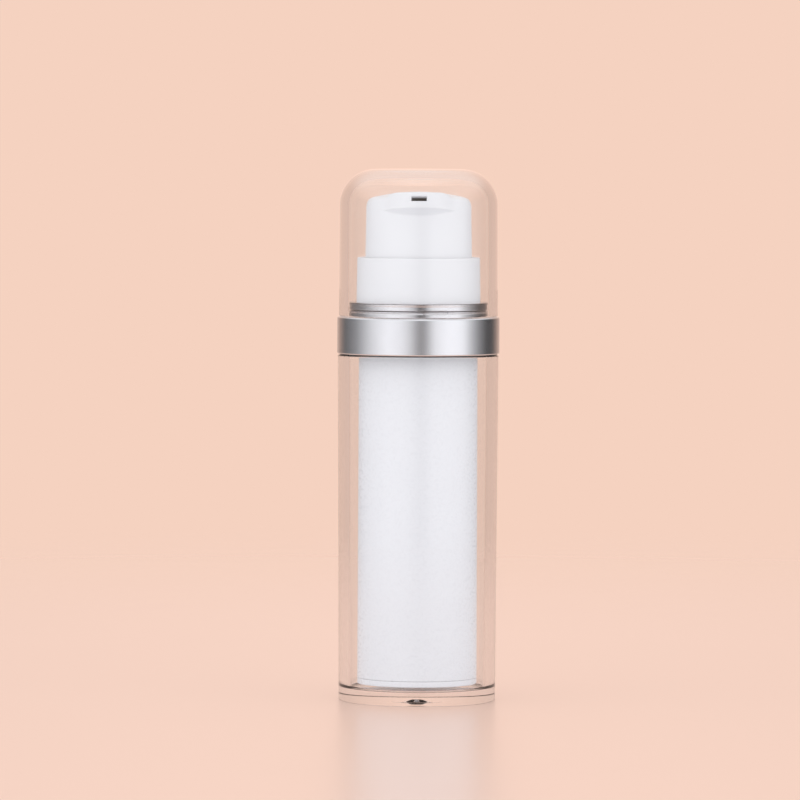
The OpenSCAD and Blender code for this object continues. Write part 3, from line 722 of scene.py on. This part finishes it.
class BOTTLE_OT_neck_sleeve(bpy.types.Operator):
    """Models the white neck sleeve that the head slides into"""

    bl_idname = "bottle.neck_sleeve"
    bl_label = "Neck sleeve"

    def execute(self, context):
        foot_r, foot_z, top_z = reach("neck_sleeve")
        ring_z = reach("collar_ring")[2]
        top_r = foot_r - 0.15 * MM
        guide_r = reach("actuator_shell")[0] + 0.3 * MM
        closure_r, _, closure_z = reach("pump_closure")
        ledge_z = closure_z + 0.05 * MM
        foot_bore_r = closure_r + FIT
        lip = 0.22 * MM
        edge = 0.12 * MM
        sleeve = lathe("neck_sleeve_shell", rounded([
            (foot_bore_r, foot_z, edge),
            (foot_r, foot_z, edge),
            (foot_r, ring_z, 0),
            (top_r, top_z, lip),
            (guide_r, top_z, lip),
            (guide_r, ledge_z, 0),
            (foot_bore_r, ledge_z, 0),
        ]))
        finish_piece(sleeve, "neck_sleeve", "root", "white_polypropylene")
        return {"FINISHED"}


class BOTTLE_OT_collar(bpy.types.Operator):
    """Models the collar: the metallised ring with its coved lands, and the satin metal band"""

    bl_idname = "bottle.collar"
    bl_label = "Collar"

    def execute(self, context):
        sizes = context.scene.bottle_sizes
        band_r, band_z, band_top_z = reach("collar_band")
        core_r, core_z, ring_z = reach("collar_ring")
        band_in_r = band_r - sizes.band_wall
        deck_top_z = band_top_z - sizes.band_wall
        deck_z = deck_top_z - sizes.deck
        ring_r = reach("over_cap")[0] - sizes.cap_wall - 0.3 * MM
        bore_r = reach("neck_sleeve")[0] + FIT
        neck_r = reach("outer_sleeve")[0] - sizes.sleeve_wall + sizes.sleeve_neck_wall
        skirt_r = neck_r + FIT
        snap_z = (band_z - SHOULDER_GAP + reach("outer_sleeve")[2]) / 2
        snap_r = skirt_r - 0.2 * MM
        groove_z = deck_top_z + sizes.groove_height
        groove_r = ring_r - sizes.groove_depth
        cove = 1.2 * MM
        edge = 0.06 * MM
        skirt_z = core_z - 0.4 * MM
        ring = lathe("collar_ring_shell", rounded([
            (bore_r, deck_z, 0),
            (skirt_r, deck_z, 0),
            (skirt_r, snap_z + 0.5 * MM, 0),
            (snap_r, snap_z + 0.25 * MM, 0),
            (snap_r, snap_z - 0.25 * MM, 0),
            (skirt_r, snap_z - 0.5 * MM, 0),
            (skirt_r, skirt_z, 0),
            (core_r, skirt_z, 0),
            (core_r, deck_top_z, 0),
            (ring_r, deck_top_z, 0),
            (ring_r, groove_z - 0.6 * MM, edge),
            (ring_r - 0.12 * MM, groove_z - 0.4 * MM, edge),
            (ring_r, groove_z - 0.24 * MM, edge),
            (ring_r, groove_z - 0.08 * MM, edge),
            (groove_r, groove_z + 0.04 * MM, edge),
            (groove_r, groove_z + 0.14 * MM, edge),
            (ring_r, groove_z + 0.32 * MM, edge),
            (ring_r - 0.1 * MM, (groove_z + ring_z) / 2, cove),
            (ring_r, ring_z - 0.2 * MM, 0.1 * MM),
            (ring_r - 0.12 * MM, ring_z, 0.06 * MM),
            (bore_r, ring_z, 0.1 * MM),
        ]))
        finish_piece(ring, "collar_ring", "root", "metallised_abs")
        flange_r = ring_r + FIT
        band = lathe("collar_band_shell", rounded([
            (band_in_r, band_z, 0.04 * MM),
            (band_r, band_z, sizes.band_foot),
            (band_r, band_top_z, sizes.band_edge),
            (flange_r, band_top_z, 0.06 * MM),
            (flange_r, deck_top_z, 0),
            (band_in_r, deck_top_z, 0),
        ]))
        finish_piece(band, "collar_band", "root", "anodised_aluminium")
        return {"FINISHED"}


class BOTTLE_OT_inner_bottle(bpy.types.Operator):
    """Models the white inner bottle and its base cap, with the fine parting line between them"""

    bl_idname = "bottle.inner_bottle"
    bl_label = "Inner bottle"

    def execute(self, context):
        sizes = context.scene.bottle_sizes
        flange_r, foot_z, neck_z = reach("inner_bottle")
        foot_r, cap_z, plug_z = reach("base_cap")
        hang_z = reach("outer_sleeve")[2]
        flange = 1.2 * MM
        flange_z = hang_z + flange
        top_r = foot_r - sizes.bottle_draft
        bore_r = top_r - sizes.bottle_wall
        neck_r = reach("neck_gasket")[0]
        neck_wall = 1 * MM
        neck_bore_r = neck_r - neck_wall
        bead_r = neck_r + 0.5 * MM
        edge = sizes.parting_edge
        bottle = lathe("inner_bottle_shell", rounded([
            (bore_r, foot_z, 0),
            (foot_r, foot_z, edge),
            (top_r, hang_z, 0),
            (flange_r, hang_z, edge),
            (flange_r, flange_z, edge),
            (neck_r, flange_z, edge),
            (neck_r, flange_z + 1.5 * MM, 0),
            (bead_r, flange_z + 1.9 * MM, edge),
            (bead_r, flange_z + 2.3 * MM, edge),
            (neck_r, flange_z + 2.9 * MM, 0),
            (neck_r, neck_z, edge),
            (neck_bore_r, neck_z, edge),
            (neck_bore_r, hang_z, 0),
            (bore_r, hang_z, 0),
        ]))
        finish_piece(bottle, "inner_bottle", "root", "bottle_polypropylene")
        disc = 1.35 * MM
        disc_z = cap_z + disc
        plug_wall = 1.1 * MM
        plug_r = bore_r - FIT
        plug_bore_r = plug_r - plug_wall
        vent_r = 0.75 * MM
        cap = lathe("base_cap_shell", rounded([
            (vent_r, cap_z, edge),
            (foot_r, cap_z, 0.3 * MM),
            (foot_r, disc_z, edge),
            (plug_r, disc_z, 0),
            (plug_r, plug_z, edge),
            (plug_bore_r, plug_z, edge),
            (plug_bore_r, disc_z, 0),
            (vent_r, disc_z, 0),
        ]))
        finish_piece(cap, "base_cap", "root", "bottle_polypropylene")
        return {"FINISHED"}


def spout_point(sizes, side, head_r, spout_y):
    """How far out the spout reaches at an angle from the front, or the head where it is wider."""
    across = spout_y * math.sin(side)
    out = spout_y * math.cos(side) + math.sqrt(sizes.spout_radius**2 - across**2)
    return max(out, head_r)


def undercut_z(side, out, lip_z, spout_front):
    """Height of the undercut's cone at an angle from the front and a distance from the axis."""
    cone_y = 4.7 * MM
    slope = 0.63
    from_cone = math.hypot(out * math.sin(side), out * math.cos(side) - cone_y)
    return lip_z + slope * (from_cone - (spout_front - cone_y))


def head_rings(sizes, side):
    """Points of the head's cage from its foot to its crown, as (distance, height), at an angle."""
    skirt_r, skirt_z, crown_z = reach("actuator_shell")
    spout_front = -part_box("actuator_shell")[0].y
    head_r = skirt_r - sizes.head_draft
    spout_y = spout_front - sizes.spout_radius
    column = round(abs(side) / STEP)
    share = PAD_SHARES[column] if column <= SPOUT_COLUMNS else 0
    out = spout_point(sizes, side, head_r, spout_y) if share else head_r
    lip_z = crown_z - 3.9 * MM
    root_z = undercut_z(side, head_r, lip_z, spout_front)
    front_z = undercut_z(side, out, lip_z, spout_front)
    if front_z - root_z < 0.3 * MM or not share:
        front_z = crown_z - 4.5 * MM
        root_z = front_z - 0.3 * MM
    pad_z = crown_z - 0.6 * MM

    def dome(r):
        return crown_z - sizes.crown + math.sqrt(sizes.crown**2 - r**2)

    def at(r, z, spout_r, spout_z):
        return (r + (spout_r - r) * share, z + (spout_z - z) * share)

    under = (out - head_r) * 0.85 + head_r
    under_z = root_z + (front_z - root_z) * 0.85
    return [
        (skirt_r, skirt_z),
        (skirt_r, skirt_z + 0.2 * MM),
        (skirt_r - sizes.head_draft * 0.4, skirt_z + 7 * MM),
        (head_r, crown_z - 7 * MM),
        (head_r, root_z - 0.35 * MM),
        (head_r, root_z),
        (under, under_z),
        (out, front_z),
        (out, front_z + 0.22 * MM),
        at(head_r, crown_z - 4.1 * MM, out, crown_z - 3.4 * MM),
        at(head_r - 0.03 * MM, crown_z - 3.75 * MM, out, crown_z - 1.5 * MM),
        at(head_r - 0.18 * MM, crown_z - 3 * MM, out, crown_z - 0.8 * MM),
        at(head_r - 0.58 * MM, crown_z - 2.17 * MM, out - 0.2 * MM, pad_z - 0.06 * MM),
        at(head_r - 1.4 * MM, crown_z - 1.64 * MM, out - 0.95 * MM, pad_z),
        at(9 * MM, dome(9 * MM), 9.8 * MM, pad_z + 0.03 * MM),
        at(6.3 * MM, dome(6.3 * MM), 6.6 * MM, pad_z + 0.08 * MM),
        (3.6 * MM, dome(3.6 * MM)),
        (1.4 * MM, dome(1.4 * MM)),
        (0.4 * MM, dome(0.4 * MM)),
    ]


def head_skin(sizes):
    """The head's outer skin: rings extruded upwards, drawn out at the spout, and subdivided."""
    plain = head_rings(sizes, math.pi)
    first_r, first_z = plain[0]
    clear_selection()
    bpy.ops.mesh.primitive_circle_add(
        vertices=COLUMNS, radius=first_r, location=(0, 0, first_z), fill_type="NGON", enter_editmode=True
    )
    skin = bpy.context.object
    skin.name = "actuator_shell_skin"
    bpy.ops.mesh.select_all(action="SELECT")
    for (r, z), (next_r, next_z) in zip(plain, plain[1:]):
        bpy.ops.mesh.extrude_region_move(TRANSFORM_OT_translate={"value": (0, 0, next_z - z)})
        share = next_r / r
        bpy.ops.transform.resize(value=(share, share, 1), center_override=(0, 0, next_z))
    bpy.ops.object.mode_set(mode="OBJECT")
    place(skin)
    for column in range(-SPOUT_COLUMNS, SPOUT_COLUMNS + 1):
        side = column * STEP
        ray = Vector((math.sin(side), -math.cos(side), 0))
        for (r, z), (spout_r, spout_z) in zip(plain, head_rings(sizes, side)):
            shift = ray * (spout_r - r) + Vector((0, 0, spout_z - z))
            if shift.length > 1e-6:
                here = ray * r + Vector((0, 0, z))
                edit(skin, lambda co: (co - here).length < 1e-5)
                bpy.ops.transform.translate(value=shift)
                bpy.ops.object.mode_set(mode="OBJECT")
    tidy(skin)
    activate(skin)
    modifier = skin.modifiers.new("smooth", "SUBSURF")
    modifier.levels = 2
    modifier.render_levels = 2
    bpy.ops.object.modifier_apply(modifier="smooth")
    return skin


class BOTTLE_OT_actuator(bpy.types.Operator):
    """Models the actuator head, with its crowned top, undercut spout, outlet and hollow"""

    bl_idname = "bottle.actuator"
    bl_label = "Actuator head"

    def execute(self, context):
        sizes = context.scene.bottle_sizes
        skirt_r, skirt_z, crown_z = reach("actuator_shell")
        front_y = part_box("actuator_shell")[0].y
        bore_r = skirt_r - sizes.skirt_wall
        head = head_skin(sizes)
        hollow = lathe("head_hollow", rounded([
            (0, skirt_z - MM, 0),
            (bore_r, skirt_z - MM, 0),
            (bore_r - sizes.head_draft, crown_z - 4 * MM, 0.5 * MM),
            (bore_r - 1.7 * MM, crown_z - 2.7 * MM, 0.5 * MM),
            (bore_r - 5.2 * MM, crown_z - 1.8 * MM, 0.5 * MM),
            (0, crown_z - 1.5 * MM, 0),
        ]), closed=False)
        boolean(head, hollow, "DIFFERENCE")
        core_r, core_front = 4.2 * MM, 11.75 * MM
        socket_wall, socket_depth = 1.05 * MM, 5.32 * MM
        trough_wall = 0.9 * MM
        boss_r = core_r + FIT
        socket_r = boss_r + socket_wall
        socket_z = crown_z - socket_depth
        socket = lathe("head_socket", rounded([
            (boss_r, socket_z, 0),
            (socket_r, socket_z, 0),
            (socket_r, crown_z - MM, 0),
            (boss_r, crown_z - MM, 0),
        ]))
        boolean(head, socket, "UNION")
        trough_w = sizes.outlet_width / 2 + trough_wall + FIT
        outlet_top = crown_z - sizes.outlet_drop
        outlet_z = outlet_top - sizes.outlet_height
        trough_z = outlet_z - trough_wall - FIT
        step_y = -core_front - FIT
        trough = block(
            "head_trough",
            (-trough_w, step_y, trough_z),
            (trough_w, trough_w, outlet_top),
        )
        boolean(head, trough, "DIFFERENCE")
        outlet = block(
            "head_outlet",
            (-sizes.outlet_width / 2, front_y - MM, outlet_z),
            (sizes.outlet_width / 2, 0, outlet_top - 0.01 * MM),
        )
        edit(outlet, lambda co: co.z > outlet_z + FIT and co.y > step_y)
        ceiling_drop = 0.7 * MM
        bpy.ops.transform.translate(value=(0, step_y, -ceiling_drop))
        bpy.ops.object.mode_set(mode="OBJECT")
        boolean(head, outlet, "DIFFERENCE")
        rim_y = front_y + MM
        bevel_edges(
            head,
            lambda co: abs(co.x) < trough_w and co.y < rim_y and outlet_z - FIT < co.z < outlet_top,
            0.1 * MM,
            2,
        )
        tidy(head)
        head.name = "actuator_shell_body"
        finish_piece(head, "actuator_shell", "head", "white_polypropylene")
        return {"FINISHED"}


class BOTTLE_OT_spring(bpy.types.Operator):
    """Models the return spring: a round wire drawn along its helix, with closer end turns"""

    bl_idname = "bottle.spring"
    bl_label = "Return spring"

    def execute(self, context):
        sizes = context.scene.bottle_sizes
        outer_r, low_z, high_z = reach("return_spring")
        turns = 7
        ring_steps = 24
        wire_r = sizes.wire / 2
        coil_r = outer_r - wire_r
        end_pitch = sizes.wire + 0.45 * MM
        first_z = low_z + wire_r
        rise = high_z - low_z - sizes.wire
        mid_pitch = (rise - 2 * end_pitch) / (turns - 2)

        def height(turn):
            if turn < 1:
                return end_pitch * turn
            if turn < turns - 1:
                return end_pitch + mid_pitch * (turn - 1)
            return rise - end_pitch * (turns - turn)

        clear_selection()
        bpy.ops.mesh.primitive_circle_add(
            vertices=12,
            radius=wire_r,
            fill_type="NGON",
            location=(coil_r, 0, first_z),
            rotation=(math.pi / 2, 0, 0),
            enter_editmode=True,
        )
        spring = bpy.context.object
        spring.name = "return_spring_wire"
        bpy.ops.mesh.select_all(action="SELECT")
        step = TURN / ring_steps
        for index in range(turns * ring_steps):
            turn = (index + 1) / ring_steps
            climb = height(turn) - height(index / ring_steps)
            bpy.ops.mesh.extrude_region_move(TRANSFORM_OT_translate={"value": (0, 0, climb)})
            bpy.ops.transform.rotate(value=-step, orient_axis="Z", center_override=(0, 0, 0))
        bpy.ops.object.mode_set(mode="OBJECT")
        place(spring)
        tidy(spring, math.radians(50))
        finish_piece(spring, "return_spring", "root", "spring_steel")
        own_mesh(spring)
        return {"FINISHED"}


# CAD nodes that keep their own shape, and the slot of each one's finish
CARRIED = {
    "nozzle_core": "natural_polymer",
    "outlet_ball": "ball_steel",
    "pump_stem": "natural_polymer",
    "piston_rod": "natural_polymer",
    "pump_piston": "natural_polymer",
    "lock_ring": "natural_polymer",
    "pump_closure": "white_polypropylene",
    "neck_gasket": "gasket_rubber",
    "pump_housing": "natural_polymer",
    "inlet_ball": "ball_steel",
    "follower_piston": "natural_polymer",
}


class BOTTLE_OT_pump_finishes(bpy.types.Operator):
    """Gives the pump, its valves, the closure and the follower their own finishes"""

    bl_idname = "bottle.pump_finishes"
    bl_label = "Pump finishes"

    def execute(self, context):
        for node, slot in CARRIED.items():
            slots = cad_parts[node].material_slots
            if not slots:
                raise RuntimeError(f"{node} has no material slot")
            for holder in slots:
                holder.material = material_for(slot)
        return {"FINISHED"}


def falloff(tree, value, softness):
    """1 in the middle of a panel, falling to 0 at its edges over a share of its width."""
    away = calc(tree, "ABSOLUTE", calc(tree, "SUBTRACT", value, 0.5))
    return eased(tree, away, 0.5, 0.5 - softness)


def softbox(name, degrees, spread, distance, low_z, high_z, radiance):
    """A lamp panel with soft edges, which spans an angle either side of its own, in degrees.
    Its light is only sampled from the surfaces, so clear plastic takes none of it away."""
    angle = math.radians(degrees)
    width = 2 * distance * math.tan(math.radians(spread))
    height = high_z - low_z
    data = bpy.data.lights.new(name, "AREA")
    data.shape = "RECTANGLE"
    data.size = width
    data.size_y = height
    data.energy = radiance * math.pi * width * height
    data.cycles.use_multiple_importance_sampling = False
    data.use_nodes = True
    tree = data.node_tree
    tree.nodes.clear()
    spot = add(tree, "ShaderNodeNewGeometry").outputs["Parametric"]
    parts = add(tree, "ShaderNodeSeparateXYZ", {"Vector": spot}).outputs
    level = calc(tree, "MULTIPLY", falloff(tree, parts["X"], 0.2), falloff(tree, parts["Y"], 0.15))
    glow = add(tree, "ShaderNodeEmission", {"Strength": level})
    add(tree, "ShaderNodeOutputLight", {"Surface": glow.outputs["Emission"]})
    lamp = bpy.data.objects.new(name, data)
    lamp.location = (distance * math.sin(angle), -distance * math.cos(angle), (low_z + high_z) / 2)
    lamp.rotation_euler = (math.pi / 2, 0, angle)
    lamp.visible_camera = False
    lamp.visible_glossy = False
    lamp.visible_transmission = False
    bpy.context.scene.collection.objects.link(lamp)
    return lamp


def seen_directly(tree):
    """1 for rays that show a surface as the eye sees it, also by gloss and through clear plastic,
    and 0 for those that only carry its light."""
    path = add(tree, "ShaderNodeLightPath").outputs
    direct = path["Is Camera Ray"]
    for other in ("Is Glossy Ray", "Is Transmission Ray"):
        direct = calc(tree, "MAXIMUM", direct, path[other])
    return calc(tree, "MULTIPLY", direct, calc(tree, "LESS_THAN", path["Diffuse Depth"], 0.5))


def studio_world(colours):
    """A pale world behind everything. Diffuse light from it is neutral, and gloss sees it darker
    at the sides, as it does between flags."""
    world = bpy.data.worlds.new("studio")
    bpy.context.scene.world = world
    world.use_nodes = True
    world.cycles.sampling_method = "NONE"
    tree = world.node_tree
    tree.nodes.clear()
    direction = add(tree, "ShaderNodeTexCoord").outputs["Generated"]
    parts = add(tree, "ShaderNodeSeparateXYZ", {"Vector": direction}).outputs
    turn = calc(tree, "ARCTAN2", parts["X"], calc(tree, "MULTIPLY", parts["Y"], -1.0))
    inputs = {"Value": turn, "From Min": -math.pi, "From Max": math.pi}
    round_share = add(tree, "ShaderNodeMapRange", inputs).outputs["Result"]
    pale = opaque(colours.backdrop)
    band = add(tree, "ShaderNodeValToRGB", {"Fac": round_share})
    stops = band.color_ramp.elements
    tones = [(angle, (level, level, level * 1.02, 1)) for angle, level in GLOSS_TONES]
    far = shaded(colours.backdrop, 0.4)
    ends = [(-180, pale), (-148, far), (148, far), (180, pale)]
    for index, (angle, tone) in enumerate(sorted(tones + ends, key=lambda pair: pair[0])):
        stop = stops[index] if index < 2 else stops.new(0.5 + angle / 360)
        stop.position = 0.5 + angle / 360
        stop.color = tone
    inputs = {0: band.outputs["Color"], "Scale": GLOSS_LEVEL}
    bright = add(tree, "ShaderNodeVectorMath", inputs, operation="SCALE").outputs["Vector"]
    gloss = mixed(tree, eased(tree, parts["Z"], 0.3, 0.7), bright, (1, 1, 1, 1))
    path = add(tree, "ShaderNodeLightPath").outputs
    entered = calc(tree, "GREATER_THAN", path["Transmission Depth"], 0.5)
    wall_only = calc(tree, "LESS_THAN", path["Transmission Depth"], 3.5)
    within = calc(tree, "MULTIPLY", entered, wall_only)
    softened = mixed(tree, calc(tree, "MULTIPLY", within, SIDE_SHARE), gloss, opaque(colours.side))
    bounced = calc(tree, "GREATER_THAN", path["Glossy Depth"], 0.5)
    light = mixed(tree, seen_directly(tree), AMBIENT, mixed(tree, bounced, pale, softened))
    background = add(tree, "ShaderNodeBackground", {"Color": light, "Strength": 1.0})
    add(tree, "ShaderNodeOutputWorld", {"Surface": background.outputs["Background"]})


def studio_floor(colours):
    """A pale satin table that fades into the world."""
    clear_selection()
    under = (0, 0, -0.05 * MM)
    bpy.ops.mesh.primitive_circle_add(vertices=96, radius=1.2, location=under, fill_type="NGON")
    table = bpy.context.object
    table.name = "studio_table"
    place(table)
    material, tree, place_on = opened("pale_satin_board")
    far = add(tree, "ShaderNodeVectorMath", {0: place_on}, operation="LENGTH").outputs["Value"]
    board = add(tree, "ShaderNodeBsdfPrincipled", {
        "Base Color": mixed(tree, seen_directly(tree), NEUTRAL, opaque(colours.backdrop)),
        "Roughness": 0.3,
        "IOR": 1.4,
    })
    away = add(tree, "ShaderNodeBsdfTransparent")
    closed_by(tree, blend(tree, eased(tree, far, 0.16, 0.6), board, away))
    table.data.materials.append(material)


class BOTTLE_OT_stage(bpy.types.Operator):
    """Sets up the pale table, the two soft lamps beside the camera, the top lamp and the camera"""

    bl_idname = "bottle.stage"
    bl_label = "Stage"

    def execute(self, context):
        colours = context.scene.bottle_colours
        studio_world(colours)
        studio_floor(colours)
        beside = {"distance": 1.6, "low_z": -0.9, "high_z": 1.6, "radiance": 0.42}
        softbox("lamp_right", 48, 42, **beside)
        softbox("lamp_left", -54, 48, **beside)
        top = softbox("lamp_top", 0, 30, distance=1.5, low_z=0, high_z=1.2, radiance=0.4)
        top.location = (0, 0, 1.6)
        top.rotation_euler = (0, 0, 0)
        data = bpy.data.cameras.new("camera")
        data.lens = 257.0
        data.sensor_width = 36
        camera = bpy.data.objects.new("camera", data)
        bpy.context.scene.collection.objects.link(camera)
        eye = Vector((-0.00418, -1.322, 0.133))
        aim = Vector((-0.00418, 0, 0.0695))
        lean = Quaternion((0, 0, 1), math.radians(0.24))
        camera.location = eye
        camera.rotation_euler = ((aim - eye).to_track_quat("-Z", "Y") @ lean).to_euler()
        context.scene.camera = camera
        context.scene.view_settings.view_transform = "Standard"
        return {"FINISHED"}


class BOTTLE_PT_panel(bpy.types.Panel):
    """Lists the bottle's steps, sizes and colours"""

    bl_idname = "BOTTLE_PT_panel"
    bl_label = "Airless pump bottle"
    bl_space_type = "VIEW_3D"
    bl_region_type = "UI"
    bl_category = "Bottle"

    def draw(self, context):
        for step in STEPS:
            self.layout.operator(step.bl_idname)
        for group in (context.scene.bottle_sizes, context.scene.bottle_colours):
            for name in group.bl_rna.properties.keys():
                if name not in ("rna_type", "name"):
                    self.layout.prop(group, name)


STEPS = [
    BOTTLE_OT_stage,
    BOTTLE_OT_outer_sleeve,
    BOTTLE_OT_inner_bottle,
    BOTTLE_OT_collar,
    BOTTLE_OT_neck_sleeve,
    BOTTLE_OT_actuator,
    BOTTLE_OT_spring,
    BOTTLE_OT_pump_finishes,
    BOTTLE_OT_over_cap,
]
CLASSES = [BottleSizes, BottleColours, *STEPS, BOTTLE_PT_panel]


def register():
    for kind in CLASSES:
        bpy.utils.register_class(kind)
    bpy.types.Scene.bottle_sizes = bpy.props.PointerProperty(type=BottleSizes)
    bpy.types.Scene.bottle_colours = bpy.props.PointerProperty(type=BottleColours)


def unregister():
    del bpy.types.Scene.bottle_colours
    del bpy.types.Scene.bottle_sizes
    for kind in reversed(CLASSES):
        bpy.utils.unregister_class(kind)


def main():
    """Builds the bottle step by step."""
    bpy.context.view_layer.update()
    register()
    for step in STEPS:
        group, name = step.bl_idname.split(".")
        getattr(getattr(bpy.ops, group), name)()


if __name__ == "__main__":
    main()
